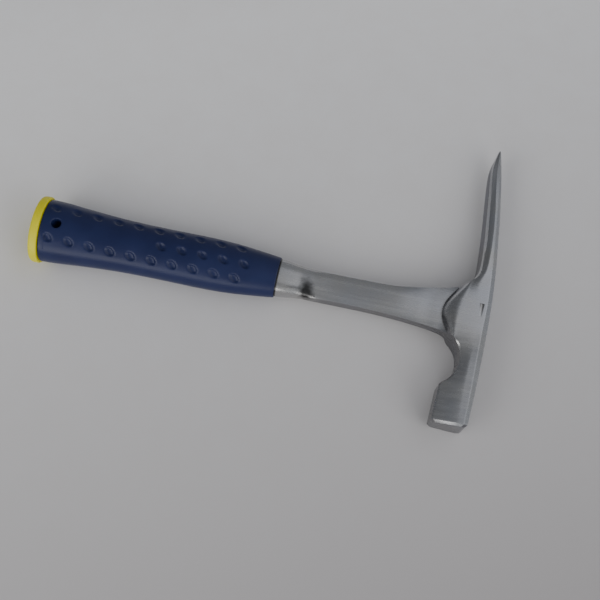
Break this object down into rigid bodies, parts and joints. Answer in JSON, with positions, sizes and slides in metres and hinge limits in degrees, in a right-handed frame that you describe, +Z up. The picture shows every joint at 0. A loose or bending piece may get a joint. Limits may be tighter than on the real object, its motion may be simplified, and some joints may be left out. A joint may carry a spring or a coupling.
{
  "type": "rock hammer",
  "caption": "One-piece steel rock hammer with a square striking face, a long pointed pick and an oval moulded grip with a lanyard hole and end cap.",
  "frame": {"origin": "under the middle of the tool's bounding box as it lies on its side, at the height of the surface that the end cap rests on", "axes": "+X along the handle from the end cap to the head, +Y towards the point of the pick (the striking face is at -Y), +Z up through the cheek"},
  "size_m": [0.282, 0.1886, 0.0312],
  "materials": {
    "forged_steel": "ground and satin polished, brushed along the neck and across the head",
    "grip_vinyl": "semi-matte moulded vinyl with pressed oval dimples",
    "cap_plastic": "smooth moulded plastic"
  },
  "bodies": {
    "root": {"forged_body": "forged_steel", "grip": "grip_vinyl", "end_cap": "cap_plastic"}
  },
  "joints": []
}
